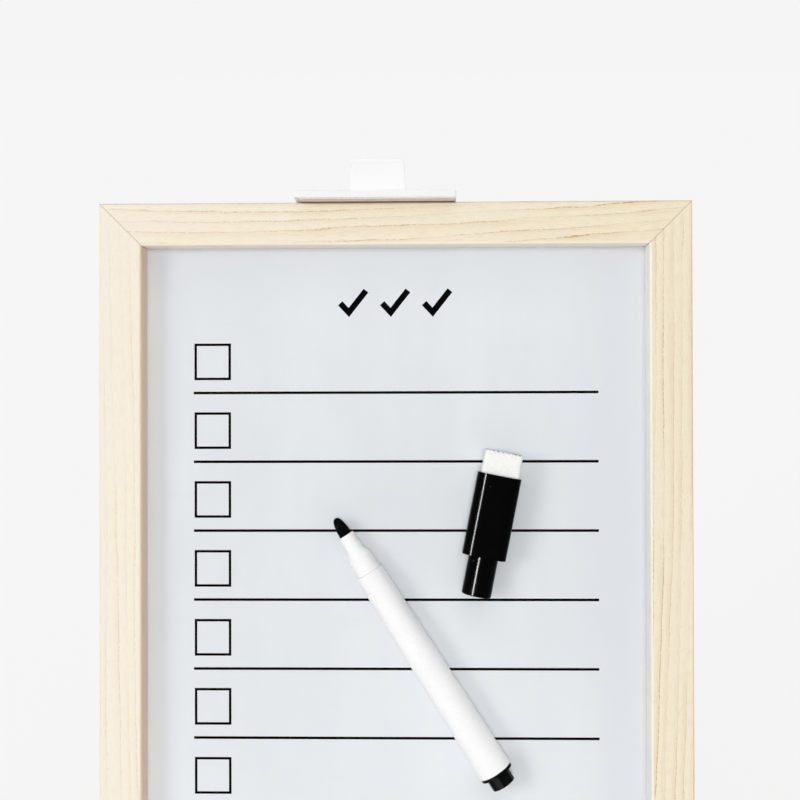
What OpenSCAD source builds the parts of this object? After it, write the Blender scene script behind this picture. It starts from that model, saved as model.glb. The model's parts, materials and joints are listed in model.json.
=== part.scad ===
// Magnetic desk whiteboard in a wooden frame, standing on a small folding metal easel.
// Millimetres, +Z up, the viewer stands on the -Y side. The origin lies on the desk,
// at the middle of the footprint.
// Board pieces are drawn in the board's own frame and then leaned back: X to the right,
// Z up along the board from its lower edge, Y = 0 on the back of the frame, -Y in front.

/* [Board frame] */
// Overall width of the wooden frame
board_w = 222; // [180:1:300]
// Overall height of the wooden frame
board_h = 309; // [290:1:340]
// Width of a rail, seen from the front
rail_w = 16; // [14:0.5:20]
// Depth of a rail, front to back
rail_d = 18; // [16:0.5:24]
// Width of the rail that is left outside the rebate
rebate_wall = 6; // [4:0.5:8]
// Depth of the recess in front of the writing face
recess = 10; // [6:0.5:10]
// Radius of the eased long edges of the rails
ease_r = 0.8; // [0.4:0.1:1.4]

/* [Writing panel] */
// Thickness of the enamelled steel face
face_t = 0.5; // [0.3:0.1:1]
// Thickness of the core board behind it
core_t = 4.5; // [3:0.5:5.5]
// Gap around the panel in its rebate
panel_gap = 0.25; // [0.1:0.05:0.5]
// Width of a retaining point
point_w = 8; // [6:1:12]
// Length of a retaining point
point_l = 12; // [10:1:14]
// Thickness of the retaining points and of the corner nails
point_t = 0.5; // [0.4:0.1:0.8]

/* [Stand] */
// Lean of the board and mast from the vertical, degrees
lean = 18; // [14:1:20]
// Height of the board's lower rear edge above the desk
seat_h = 24; // [22:1:30]
// Sideways place of the mast
mast_u = -6.9; // [-12:0.1:0]
// Width of the mast
mast_w = 21.6; // [21:0.1:24]
// Width of the mast at its top
mast_top_w = 20.3; // [18:0.1:21]
// Depth of the mast
mast_d = 8; // [7:0.5:10]
// Wall of the mast
mast_wall = 1.2; // [1:0.1:1.6]
// Height of the mast's top above the frame
mast_above = 19.7; // [19:0.1:30]
// Height above the frame where the mast starts to narrow
taper_above = 7; // [5:0.5:10]
// Thickness of the lid of the mast's end cap
lid_t = 1.5; // [1:0.1:2.5]
// Length of the base bar
bar_l = 150; // [120:2:200]
// Depth of the base bar
bar_w = 27; // [24:1:34]
// Thickness of the base bar
bar_t = 5; // [4:0.5:6]
// Corner radius of the base bar
bar_r = 6; // [3:0.5:10]
// Thickness of the rubber pads under the bar
pad_h = 2; // [1.5:0.5:3]
// Radius of the rubber pads
pad_r = 5.6; // [4:0.1:6.5]

/* [Ledge] */
// Length of the ledge
ledge_l = 140; // [100:2:180]
// Sheet thickness of the ledge
sheet_t = 1.5; // [1.2:0.1:2]
// Height of the lip in front of the frame
lip_h = 6; // [4:0.5:8]
// Gap between the lip and the frame
lip_gap = 0.6; // [0.4:0.1:1.5]
// Length of the flange that is riveted to the mast
flange_h = 14; // [12:0.5:15]
// Inside radius of the folds
fold_r = 1; // [0.6:0.1:1.4]

/* [Rear leg] */
// Height of the leg's pin above the board's lower edge
hinge_v = 245; // [220:1:260]
// Distance of the pin behind the mast
pin_off = 5.5; // [5.3:0.1:6.5]
// Angle between mast and leg when the leg is open, degrees
open_angle = 33; // [30:1:36]
// Width of the leg
leg_w = 16; // [15:0.5:18]
// Depth of the leg
leg_d = 8; // [8:0.5:9]
// Sheet thickness of the leg
leg_wall = 1.2; // [1:0.1:1.4]
// Distance of the pin from the open side of the leg
pin_front = 3.2; // [3:0.1:3.6]
// Radius of the pin
pin_r = 1.5; // [1.2:0.1:1.6]
// Thickness of the bracket's ears and plate
ear_t = 1.5; // [1.2:0.1:1.8]
// Height of the bracket's plate
bracket_h = 26; // [24:1:32]
// Depth of the rubber foot
foot_d = 16; // [14:0.5:18]
// Height of the rubber foot
foot_h = 10; // [8:0.5:12]
// Rubber under the end of the leg
foot_sole = 2; // [1.5:0.5:3]
// Rubber at the sides of the leg
foot_side = 2; // [1.5:0.5:3]

/* [Top clamp] */
// Width of the clamp plate
clamp_w = 60; // [50:1:80]
// Thickness of the clamp plate
clamp_t = 2.6; // [2:0.1:3]
// Overhang of the clamp plate in front of the frame
overhang = 7.5; // [5:0.5:10]
// Thickness of the pad under the plate
clamp_pad_t = 0.6; // [0.4:0.1:1]
// Bare strip of the plate beside the pad
pad_inset = 2.2; // [1:0.1:4]
// Depth of the guide block behind the mast
block_d = 10; // [9:0.5:12]
// Height of the guide block
block_h = 15; // [14:0.5:17]
// Thickness of the cheeks beside the mast
cheek_t = 3; // [2.5:0.1:4]
// Radius of the clamp screw
stud_r = 2.5; // [2:0.1:2.5]
// Radius of the swivel shoe
shoe_r = 3.7; // [3.4:0.1:3.8]
// Thickness of the swivel shoe
shoe_t = 2.4; // [2.2:0.1:2.6]
// Outer radius of the knob
knob_r = 10; // [8:0.5:12]
// Thickness of the knob's grip
knob_t = 8; // [6:0.5:10]
// Number of flutes round the knob
flutes = 8; // [6:1:10]

/* [Marker] */
// Length of the barrel
barrel_l = 87.9; // [80:0.1:100]
// Radius of the barrel at the rear
barrel_rear_r = 6.5; // [6.2:0.05:7]
// Radius of the barrel at the front
barrel_front_r = 5.55; // [5.4:0.05:5.7]
// Wall of the barrel
barrel_wall = 0.95; // [0.8:0.05:1]
// Radius and length of the collar that the cap grips
collar_r = 4.72; // [4.6:0.01:4.75]
collar_l = 7; // [6:0.1:8]
// Length of the cone between collar and nose
cone_l = 2.7; // [2:0.1:4]
// Length and front radius of the nose
nose_l = 6.7; // [5:0.1:8]
nose_r = 3.1; // [2.9:0.05:3.3]
// Length and radius of the nib in front of the nose
nib_l = 7.4; // [6:0.1:8]
nib_r = 2.45; // [2:0.05:2.6]
// Radius and thickness of the rear flange
flange_r = 6.4; // [6:0.05:6.5]
flange_t = 1.2; // [1:0.1:2]
// Radius and length of the rear boss
boss_r = 4.65; // [4:0.05:5]
boss_l = 4.8; // [3:0.1:6]
// Sideways place and height of the nib's tip on the board
tip_u = -22.6; // [-40:0.1:0]
tip_v = 190.3; // [180:0.1:220]
// Slant of the marker from the vertical, degrees
marker_slant = 32.4; // [20:0.1:45]

/* [Cap with eraser] */
// Length of the open tube below the sleeve
mouth_l = 14.8; // [12:0.1:18]
// Outer radius of the tube
tube_r = 5.57; // [5.5:0.01:5.8]
// Length, width and depth of the sleeve
sleeve_l = 31; // [28:0.1:36]
sleeve_w = 16.5; // [16.2:0.1:20]
sleeve_d = 13; // [12.8:0.1:15]
// Corner radius of the sleeve
sleeve_r = 4.2; // [2:0.1:5]
// Length of the felt in front of the sleeve
felt_l = 9; // [6:0.1:12]
// Width and depth of the felt
felt_w = 14.6; // [13:0.05:15]
felt_d = 10.4; // [9:0.1:11]
// Sideways place and height of the cap's mouth on the board
cap_u = 30.3; // [20:0.1:40]
cap_v = 161.6; // [150:0.1:180]
// Slant of the cap from the vertical, degrees
cap_slant = 11.2; // [5:0.1:20]

/* [Fits] */
// Running clearance of pins and screws, on the radius
run = 0.05; // [0.03:0.01:0.1]
// Clearance between sliding faces
slide_gap = 0.3; // [0.2:0.05:0.4]
// Gap under the marker and the cap
rest_gap = 0.3; // [0.2:0.05:0.5]

/* [Hidden] */
$fn = 64;

// Colours
wood = [0.90, 0.83, 0.70];
board_wood = [0.62, 0.50, 0.36];
white_steel = [0.95, 0.95, 0.94];
white_plastic = [0.93, 0.93, 0.93];
panel_white = [0.86, 0.88, 0.90];
zinc = [0.70, 0.71, 0.72];
black = [0.05, 0.05, 0.05];
rubber_grey = [0.25, 0.25, 0.26];
felt_white = [0.92, 0.92, 0.89];

// Panel and stand places in the board's frame
panel_y = -(rail_d - recess);
panel_w = board_w - 2 * rebate_wall - 2 * panel_gap;
panel_h = board_h - 2 * rebate_wall - 2 * panel_gap;
core_back_y = panel_y + face_t + core_t;
mast_top_v = board_h + mast_above;
plate_v = board_h + clamp_pad_t;
screw_v = plate_v - block_h / 2;
bar_top = pad_h + bar_t;

// Rivets and small screws
rivet_r = 1.6;
rivet_head_r = 3;
rivet_head_t = 1.3;
rivet_tail = 1.2;
rivet_dome_r = rivet_head_r * 1.2;
rivet_inset = 4.5;
ledge_rivet_u = 6;
ledge_rivet_v = -(sheet_t + fold_r + flange_h / 2);
bracket_rivet_step = bracket_h / 2 - rivet_inset;
block_screw_r = 1.5;
block_screw_head_r = 2.8;
block_screw_head_t = 1.5;
block_screw_l = 10;
block_screw_out = 4.7;
block_screw_u = stud_r + block_screw_out;
hex_r = 1.15;
hex_deep = 0.9;

// The leg turns about its pin; it is open at rest
leg_tilt = open_angle - lean;
pin_y_board = mast_d + pin_off;
pin_y = pin_y_board * cos(lean) + hinge_v * sin(lean);
pin_z = seat_h - pin_y_board * sin(lean) + hinge_v * cos(lean);
heel = (pin_off - slide_gap - pin_front * cos(open_angle)) / sin(open_angle);
ear_r = leg_d - pin_front - leg_wall - slide_gap;
ear_out = leg_w / 2 - leg_wall - slide_gap;
leg_reach = (pin_z - foot_sole) / cos(leg_tilt) + leg_d;
foot_y = pin_y + (pin_z - foot_h / 2) * tan(leg_tilt)
       + (leg_d / 2 - pin_front) / cos(leg_tilt);

// The base bar ends just behind the mast's foot, clear of the folded leg
mast_foot_v = (bar_top - seat_h) / cos(lean);
bar_margin = 0.4;
bar_back = mast_d * cos(lean) + (mast_foot_v + mast_d * tan(lean)) * sin(lean) + bar_margin;
bar_front = bar_back - bar_w;
foot_back = foot_y + foot_d / 2;
shift_y = -(bar_front + foot_back) / 2;

// Small edges, corners and reaches
nail_deep = 7;
nail_reach = 3.6;
point_place = 0.27;
pin_head = 1;
pad_front = 0.2;
pad_side = 0.5;
pad_back = 0.8;
bar_ease = 1.2;
pad_inset_x = 3.4;
plate_corner = 1;
block_corner = 2;
foot_corner = 3;
lip_corner = 4;
moulded_edge = 0.3;
cap_plug_l = 5;
cap_plug_play = 0.2;

// Clamp screw, measured backwards from the mast's rear face
shoe_gap = 0.1;
shoe_socket = 1.2;
spigot_r = 1.3;
pocket_r = shoe_r + slide_gap;
pocket_room = 1.9;
pocket_l = shoe_t + pocket_room;
hub_r = 5.5;
hub_l = 2.5;
hub_gap = 0.6;
stud_in_knob = 6;
stud_room = 0.5;
flute_r = 2;
flute_out = 0.9;
knob_rim = 2.2;
knob_dome = 0.8;

// Marker, measured from the nib's tip backwards
nose_z = nib_l;
cone_z = nose_z + nose_l;
collar_z = cone_z + cone_l;
barrel_z = collar_z + collar_l;
plug_z = barrel_z + barrel_l;
nose_flare = 0.2;
nose_back_r = nose_r + nose_flare;
stem_inset = 0.3;
stem_r = nib_r - stem_inset;
stem_out = 5;
nib_bulge = 0.8;
spigot_l = 7;
stem_end = barrel_z + spigot_l + stem_out;
plug_l = 6;
plug_play = 0.12;
magnet_l = 3;
magnet_play = 0.4;
reservoir_room = 1;
reservoir_play = 0.5;
barrel_lean = atan((barrel_rear_r - barrel_front_r) / barrel_l);
marker_y = panel_y - rest_gap - barrel_front_r / cos(barrel_lean)
         + barrel_z * sin(barrel_lean);

// Cap, measured from its mouth
cap_y = panel_y - rest_gap - sleeve_d / 2;
grip_play = 0.08;
grip_bore_r = collar_r + grip_play;
seal_t = 1.2;
seal_step = 0.35;
seal_seat_r = grip_bore_r - seal_step;
seal_end = collar_l + seal_t;
nose_play = 0.35;
nose_bore_r = nose_back_r + nose_play;
nib_room = 0.2;
nose_bore_l = collar_l + cone_l + nose_l + nib_l + nib_room;
tube_end_t = 1.6;
tube_l = nose_bore_l + tube_end_t;
felt_in = 4;
felt_wall_w = 1.6;
felt_wall_d = 1.8;
felt_in_w = sleeve_w - 2 * felt_wall_w;
felt_in_d = sleeve_d - 2 * felt_wall_d;
felt_in_r = 2;
felt_r = 1.2;
cap_end = mouth_l + sleeve_l;
magnet_w = 9;
magnet_t = 3;
magnet_h = 8;
big = 1000;

// ---------- placing ----------

// From the board's own frame to the desk
module lean_back() {
    translate([0, shift_y, seat_h]) rotate([-lean, 0, 0]) children();
}

// From the leg's own frame, with its pin at the origin, to the desk
module open_leg() {
    translate([mast_u, shift_y + pin_y, pin_z]) rotate([leg_tilt, 0, 0]) children();
}

// From the marker's own frame, nib tip at the origin and +Z to the rear, to the board
module lay_marker() {
    lean_back() translate([tip_u, marker_y, tip_v])
        rotate([0, 180 - marker_slant, 0]) rotate([barrel_lean, 0, 0]) children();
}

// From the cap's own frame, mouth at the origin and +Z to the felt, to the board
module lay_cap() {
    lean_back() translate([cap_u, cap_y, cap_v]) rotate([0, cap_slant, 0]) children();
}

// The clamp screw's axis: origin on the mast's rear face, +Z backwards
module on_screw() {
    lean_back() translate([mast_u, mast_d, screw_v]) rotate([-90, 0, 0]) children();
}

// Everything below a height above the desk
module below(z) {
    translate([-big / 2, -big / 2, z - big]) cube(big);
}

// ---------- shared shapes ----------

function arc(cx, cy, r, from, to, n = 4) =
    [for (i = [0:n]) let (a = from + (to - from) * i / n) [cx + r * cos(a), cy + r * sin(a)]];

module round_square(w, d, r) {
    square([w - 2 * r, d], center = true);
    square([w, d - 2 * r], center = true);
    for (x = [-1, 1], y = [-1, 1])
        translate([x * (w / 2 - r), y * (d / 2 - r)]) circle(r);
}

// A cylinder along Y, starting at y and running backwards
module y_rod(r, y, length) {
    translate([0, y, 0]) rotate([-90, 0, 0]) cylinder(r = r, h = length);
}

// A quarter of a folded sheet, centred on its fold line
module fold(from) {
    intersection() {
        difference() {
            circle(fold_r + sheet_t);
            circle(fold_r);
        }
        rotate(from) square(fold_r + sheet_t);
    }
}

// Domed rivet: head outwards at y = 0 facing -Y, shank backwards
module rivet(grip) {
    intersection() {
        translate([0, rivet_dome_r - rivet_head_t, 0]) rotate([90, 0, 0]) sphere(rivet_dome_r);
        y_rod(rivet_head_r, -rivet_head_t, rivet_head_t);
    }
    y_rod(rivet_r, 0, grip + rivet_tail);
}

// ---------- wooden frame ----------

// Cross-section of a rail: x runs from the front (-rail_d) to the back (0),
// y from the inner edge (-rail_w) to the outer edge (0)
module rail_section() {
    polygon(concat(
        arc(-rail_d + ease_r, -ease_r, ease_r, 180, 90),
        arc(-ease_r, -ease_r, ease_r, 90, 0),
        [[0, -rebate_wall], [panel_y, -rebate_wall], [panel_y, -rail_w]],
        arc(-rail_d + ease_r, -rail_w + ease_r, ease_r, 270, 180)));
}

// A mitred rail: outer edge along Z = 0, body below it, length along X
module rail(length) {
    color(wood) intersection() {
        rotate([90, 0, 90]) linear_extrude(length, center = true) rail_section();
        translate([0, 1, 0]) rotate([90, 0, 0]) linear_extrude(rail_d + 2)
            polygon([[-length / 2, 0], [length / 2, 0],
                     [length / 2 - rail_w, -rail_w], [-length / 2 + rail_w, -rail_w]]);
    }
}

module rail_top() {
    lean_back() translate([0, 0, board_h]) rail(board_w);
}

module rail_bottom() {
    lean_back() rotate([0, 180, 0]) rail(board_w);
}

module stile_left() {
    lean_back() translate([-board_w / 2, 0, board_h / 2]) rotate([0, -90, 0]) rail(board_h);
}

module stile_right() {
    lean_back() translate([board_w / 2, 0, board_h / 2]) rotate([0, 90, 0]) rail(board_h);
}

// One V-shaped nail across each mitre, driven in from the back
module corner_nails() {
    color(zinc) lean_back() translate([0, 0, board_h / 2])
        for (x = [-1, 1], z = [-1, 1])
            translate([x * (board_w / 2 - rebate_wall / 2), -nail_deep,
                       z * (board_h / 2 - rebate_wall / 2)])
                union() {
                    translate([x > 0 ? -nail_reach : 0, 0, -point_t / 2])
                        cube([nail_reach, nail_deep, point_t]);
                    translate([-point_t / 2, 0, z > 0 ? -nail_reach : 0])
                        cube([point_t, nail_deep, nail_reach]);
                }
}

// ---------- writing panel ----------

module steel_face() {
    color(panel_white) lean_back() translate([-panel_w / 2, panel_y, (board_h - panel_h) / 2])
        cube([panel_w, face_t, panel_h]);
}

module core_board() {
    color(board_wood) lean_back()
        translate([-panel_w / 2, panel_y + face_t, (board_h - panel_h) / 2])
            cube([panel_w, core_t, panel_h]);
}

// Steel points pushed into the rebate wall behind the core board, two to a side
module retaining_points() {
    reach = rebate_wall / 2 + panel_gap + point_l / 2;
    color(zinc) lean_back() translate([0, core_back_y, board_h / 2])
        for (s = [-1, 1], place = [-point_place, point_place]) {
            translate([s * (board_w / 2 - reach), point_t / 2, place * board_h])
                cube([point_l, point_t, point_w], center = true);
            translate([place * board_w, point_t / 2, s * (board_h / 2 - reach)])
                cube([point_w, point_t, point_l], center = true);
        }
}

// ---------- stand ----------

// Front outline of the mast, drawn in by a wall all round the sides
module mast_outline(inset, top_v) {
    low = mast_foot_v - mast_d;
    side = mast_w / 2 - inset;
    top = mast_top_w / 2 - inset;
    polygon([[-side, low], [side, low], [side, board_h + taper_above],
             [top, top_v], [-top, top_v], [-side, board_h + taper_above]]);
}

// Extrude a front outline backwards, from y to y + depth
module front_plate(y, depth) {
    translate([0, y + depth, 0]) rotate([90, 0, 0]) linear_extrude(depth) children();
}

module mast() {
    color(white_steel) difference() {
        lean_back() translate([mast_u, 0, 0]) difference() {
            front_plate(0, mast_d) mast_outline(0, mast_top_v - lid_t);
            front_plate(mast_wall, mast_d - 2 * mast_wall)
                mast_outline(mast_wall, mast_top_v + lid_t);
            for (x = [-1, 1]) translate([x * ledge_rivet_u, 0, ledge_rivet_v])
                y_rod(rivet_r + run, -1, mast_wall + 2);
            for (z = [-1, 1]) translate([0, 0, hinge_v + z * bracket_rivet_step])
                y_rod(rivet_r + run, mast_d - mast_wall - 1, mast_wall + 2);
        }
        below(bar_top);
    }
}

module mast_cap() {
    plug_w = mast_top_w - 2 * (mast_wall + cap_plug_play);
    plug_d = mast_d - 2 * (mast_wall + cap_plug_play);
    color(white_plastic) lean_back() translate([mast_u, mast_d / 2, mast_top_v - lid_t]) {
        translate([0, 0, lid_t / 2]) cube([mast_top_w, mast_d, lid_t], center = true);
        translate([0, 0, -cap_plug_l / 2]) cube([plug_w, plug_d, cap_plug_l], center = true);
    }
}

// Rounded plate, w by d, whose upper edge is eased with the radius e
module eased_plate(w, d, h, r, e) {
    linear_extrude(h - e) round_square(w, d, r);
    translate([0, 0, h - e]) {
        linear_extrude(e) round_square(w - 2 * e, d - 2 * e, r - e);
        for (y = [-1, 1]) translate([0, y * (d / 2 - e), 0]) rotate([90, 0, 90])
            linear_extrude(w - 2 * r, center = true) quarter_round(e, y);
        for (x = [-1, 1]) translate([x * (w / 2 - e), 0, 0]) rotate([90, 0, 0])
            linear_extrude(d - 2 * r, center = true) quarter_round(e, x);
        for (x = [-1, 1], y = [-1, 1]) translate([x * (w / 2 - r), y * (d / 2 - r), 0])
            rotate_extrude() {
                square([r - e, e]);
                translate([r - e, 0]) quarter_round(e, 1);
            }
    }
}

// Upper quarter of a circle, to the right or the left of its centre
module quarter_round(r, side) {
    intersection() {
        circle(r);
        translate([side > 0 ? 0 : -r, 0]) square(r);
    }
}

module base_bar() {
    color(white_steel) translate([mast_u, shift_y + (bar_front + bar_back) / 2, pad_h])
        eased_plate(bar_l, bar_w, bar_t, bar_r, bar_ease);
}

module base_pads() {
    color(rubber_grey) translate([mast_u, shift_y + (bar_front + bar_back) / 2, 0])
        for (x = [-1, 1], y = [-1, 1])
            translate([x * (bar_l / 2 - pad_r - pad_inset_x), y * (bar_w / 2 - pad_r), 0])
                cylinder(r = pad_r, h = pad_h);
}

// Folded sheet: lip up in front, shelf under the frame, flange down the mast
module ledge_section() {
    front = -rail_d - lip_gap;
    r = fold_r;
    t = sheet_t;
    translate([front - t / 2, lip_h - t / 2]) circle(t / 2);
    translate([front + r, r]) fold(180);
    translate([front - t, r]) square([t, lip_h - t / 2 - r]);
    translate([front + r, -t]) square([-front - 2 * r - t, t]);
    translate([-r - t, -r - t]) fold(0);
    translate([-t, -r - t - flange_h]) square([t, flange_h]);
}

module ledge() {
    color(white_steel) lean_back() difference() {
        translate([mast_u, 0, 0]) rotate([90, 0, 90])
            linear_extrude(ledge_l, center = true) ledge_section();
        for (x = [-1, 1]) translate([mast_u + x * ledge_rivet_u, 0, ledge_rivet_v])
            y_rod(rivet_r + run, -sheet_t - 1, sheet_t + 2);
        // The flange is only as wide as the mast
        for (x = [-1, 1])
            translate([mast_u + x * (ledge_l / 4 + mast_w / 4 + 1), 0,
                       -sheet_t - fold_r - flange_h / 2 - 1])
                cube([ledge_l / 2 - mast_w / 2, 4 * sheet_t + 4 * fold_r,
                      flange_h + 2], center = true);
        // Rounded corners of the lip
        for (x = [-1, 1])
            translate([mast_u + x * (ledge_l / 2 - lip_corner), 0, lip_h - lip_corner])
                front_plate(-rail_d - lip_gap - sheet_t - 1, sheet_t + 1.5) difference() {
                    translate([x > 0 ? 0 : -lip_corner - 1, 0])
                        square(lip_corner + 1);
                    circle(lip_corner);
                }
    }
}

module ledge_rivets() {
    color(zinc) lean_back() for (x = [-1, 1])
        translate([mast_u + x * ledge_rivet_u, -sheet_t, ledge_rivet_v])
            rivet(sheet_t + mast_wall);
}

// ---------- rear leg ----------

module leg_bracket() {
    color(white_steel) lean_back() translate([mast_u, mast_d, hinge_v]) difference() {
        union() {
            translate([-ear_out, 0, -bracket_h / 2]) cube([2 * ear_out, ear_t, bracket_h]);
            for (x = [-ear_out, ear_out - ear_t]) translate([x, 0, 0]) {
                translate([0, 0, -ear_r]) cube([ear_t, pin_off, 2 * ear_r]);
                translate([0, pin_off, 0]) rotate([0, 90, 0]) cylinder(r = ear_r, h = ear_t);
            }
        }
        translate([-leg_w, pin_off, 0]) rotate([0, 90, 0])
            cylinder(r = pin_r + run, h = 2 * leg_w);
        for (z = [-1, 1]) translate([0, 0, z * bracket_rivet_step])
            y_rod(rivet_r + run, -1, ear_t + 2);
    }
}

module bracket_rivets() {
    color(zinc) lean_back() for (z = [-1, 1])
        translate([mast_u, mast_d + ear_t, hinge_v + z * bracket_rivet_step])
            rotate([0, 0, 180]) rivet(ear_t + mast_wall);
}

// Headed pin through the leg and the bracket's ears
module leg_pin() {
    head_r = pin_r + pin_head;
    half = leg_w / 2 + slide_gap;
    color(zinc) lean_back() translate([mast_u, pin_y_board, hinge_v]) rotate([0, 90, 0]) {
        cylinder(r = pin_r, h = 2 * half, center = true);
        for (s = [-1, 1]) translate([0, 0, s * (half + pin_head / 2)])
            cylinder(r = head_r, h = pin_head, center = true);
    }
}

// Outside of the leg, widened by a clearance
module leg_bar(clear) {
    translate([-leg_w / 2 - clear, -pin_front - clear, -leg_reach])
        cube([leg_w + 2 * clear, leg_d + 2 * clear, leg_reach + heel]);
}

module rear_leg() {
    shoulder = heel + pin_front;
    color(white_steel) difference() {
        open_leg() difference() {
            leg_bar(0);
            translate([-leg_w / 2 + leg_wall, -pin_front - 1, -leg_reach - 1])
                cube([leg_w - 2 * leg_wall, leg_d - leg_wall + 1, leg_reach + heel + 2]);
            translate([-leg_w, 0, 0]) rotate([0, 90, 0])
                cylinder(r = pin_r + run, h = 2 * leg_w);
            // The back of the heel is rounded off
            translate([-leg_w, leg_d - pin_front - shoulder, heel - shoulder])
                rotate([90, 0, 90]) linear_extrude(2 * leg_w) difference() {
                    square(shoulder + 1);
                    circle(shoulder);
                }
        }
        below(foot_sole);
    }
}

// Rubber boot on the end of the leg, flat on the desk
module leg_foot() {
    color(rubber_grey) difference() {
        translate([mast_u, shift_y + foot_y, 0]) linear_extrude(foot_h)
            round_square(leg_w + 2 * foot_side, foot_d, foot_corner);
        difference() {
            open_leg() leg_bar(run);
            below(foot_sole);
        }
    }
}

// ---------- top clamp ----------

clamp_depth = overhang + rail_d + mast_d + slide_gap + block_d;

module clamp_plate() {
    color(white_steel) lean_back() translate([mast_u, 0, plate_v]) difference() {
        translate([0, clamp_depth / 2 - overhang - rail_d, 0])
            linear_extrude(clamp_t) round_square(clamp_w, clamp_depth, plate_corner);
        translate([-mast_w / 2 - slide_gap, -slide_gap, -1])
            cube([mast_w + 2 * slide_gap, mast_d + 2 * slide_gap, clamp_t + 2]);
        for (x = [-1, 1]) translate([x * block_screw_u, mast_d + slide_gap + block_d / 2, 0]) {
            translate([0, 0, -1]) cylinder(r = block_screw_r + run, h = clamp_t + 2);
            translate([0, 0, clamp_t - block_screw_head_t])
                cylinder(r1 = block_screw_r + run, r2 = block_screw_head_r + run,
                         h = block_screw_head_t);
        }
    }
}

// Soft pad between the plate and the top of the frame
module clamp_pad() {
    color([0.86, 0.83, 0.78]) lean_back()
        translate([mast_u - clamp_w / 2 + pad_inset, -overhang - rail_d + pad_front, board_h])
            cube([clamp_w - pad_inset - pad_side, overhang + rail_d - pad_front - pad_back,
                  clamp_pad_t]);
}

// Moulded block under the plate: it embraces the mast and takes the screw
module clamp_block() {
    half = mast_w / 2 + slide_gap + cheek_t;
    front = 2 * slide_gap;
    back = mast_d + slide_gap + block_d;
    color(white_plastic) difference() {
        lean_back() translate([mast_u, 0, plate_v - block_h]) difference() {
            translate([0, (front + back) / 2, 0]) linear_extrude(block_h)
                round_square(2 * half, back - front, block_corner);
            translate([-mast_w / 2 - slide_gap, -1, -1])
                cube([mast_w + 2 * slide_gap, mast_d + slide_gap + 1, block_h + 2]);
            for (x = [-1, 1])
                translate([x * block_screw_u, mast_d + slide_gap + block_d / 2,
                           block_h - block_screw_l])
                    cylinder(r = block_screw_r + run, h = block_screw_l + 1);
        }
        on_screw() {
            translate([0, 0, -1]) cylinder(r = pocket_r, h = pocket_l + 1);
            cylinder(r = stud_r + run, h = block_d + 5);
        }
    }
}

module clamp_screws() {
    color(zinc) lean_back() for (x = [-1, 1])
        translate([mast_u + x * block_screw_u, mast_d + slide_gap + block_d / 2,
                   plate_v + clamp_t - block_screw_head_t])
            difference() {
                union() {
                    cylinder(r1 = block_screw_r, r2 = block_screw_head_r,
                             h = block_screw_head_t);
                    translate([0, 0, -block_screw_l + 1]) cylinder(r = block_screw_r,
                                                                  h = block_screw_l - 1);
                }
                translate([0, 0, block_screw_head_t - hex_deep])
                    cylinder(r = hex_r, h = hex_deep + 1, $fn = 6);
            }
}

// Shoe that the screw presses against the mast; it does not turn with the screw
module clamp_shoe() {
    color([0.72, 0.60, 0.32]) on_screw() difference() {
        translate([0, 0, shoe_gap]) cylinder(r = shoe_r, h = shoe_t);
        translate([0, 0, shoe_gap + shoe_t - shoe_socket])
            cylinder(r = spigot_r + run, h = shoe_socket + 1);
    }
}

module clamp_stud() {
    shoulder = shoe_gap + shoe_t + run;
    end = slide_gap + block_d + hub_gap + stud_in_knob;
    color(zinc) on_screw() {
        translate([0, 0, shoulder - shoe_socket + run])
            cylinder(r = spigot_r, h = shoe_socket);
        translate([0, 0, shoulder]) cylinder(r = stud_r, h = end - shoulder);
    }
}

module clamp_knob() {
    start = slide_gap + block_d + hub_gap;
    color(white_plastic) on_screw() translate([0, 0, start]) difference() {
        union() {
            cylinder(r = hub_r, h = hub_l);
            translate([0, 0, hub_l]) linear_extrude(knob_t) difference() {
                circle(knob_r);
                for (i = [0:flutes - 1]) rotate(i * 360 / flutes)
                    translate([knob_r + flute_out, 0]) circle(flute_r);
            }
            translate([0, 0, hub_l + knob_t])
                cylinder(r1 = knob_r - knob_rim, r2 = knob_r - knob_rim - knob_dome, h = knob_dome);
        }
        translate([0, 0, -1]) cylinder(r = stud_r + run, h = 1 + stud_in_knob + stud_room);
    }
}

// ---------- marker ----------

module marker_barrel() {
    color(white_plastic) lay_marker() translate([0, 0, barrel_z])
        rotate_extrude() polygon([
            [barrel_front_r - barrel_wall, 0], [barrel_front_r - moulded_edge, 0],
            [barrel_front_r, moulded_edge], [barrel_rear_r, barrel_l],
            [barrel_rear_r - barrel_wall, barrel_l]]);
}

// Collar, cone and nose in one moulding, with a spigot in the barrel
module marker_nose() {
    color(white_plastic) lay_marker() rotate_extrude() polygon([
        [stem_r + run, nose_z], [nose_r - moulded_edge, nose_z],
        [nose_r, nose_z + moulded_edge], [nose_back_r, cone_z],
        [collar_r - moulded_edge, collar_z], [collar_r, collar_z + 2 * moulded_edge],
        [collar_r, barrel_z - run],
        [barrel_front_r - barrel_wall - run, barrel_z - run],
        [barrel_front_r - barrel_wall - run, barrel_z + spigot_l],
        [stem_r + run, barrel_z + spigot_l]]);
}

// Bullet nib on a thinner stem that reaches the reservoir
module marker_nib() {
    steps = 12;
    color(black) lay_marker() rotate_extrude() polygon(concat(
        [for (i = [0:steps]) let (a = 90 * i / steps)
            [nib_r * pow(sin(a), nib_bulge), (nib_l - run) * (1 - cos(a))]],
        [[stem_r, nib_l - run], [stem_r, stem_end], [0, stem_end]]));
}

module marker_reservoir() {
    start = stem_end + run;
    length = plug_z - plug_l - magnet_l - start - reservoir_room;
    color(felt_white) lay_marker() translate([0, 0, start])
        cylinder(r = barrel_front_r - barrel_wall - reservoir_play, h = length);
}

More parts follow.
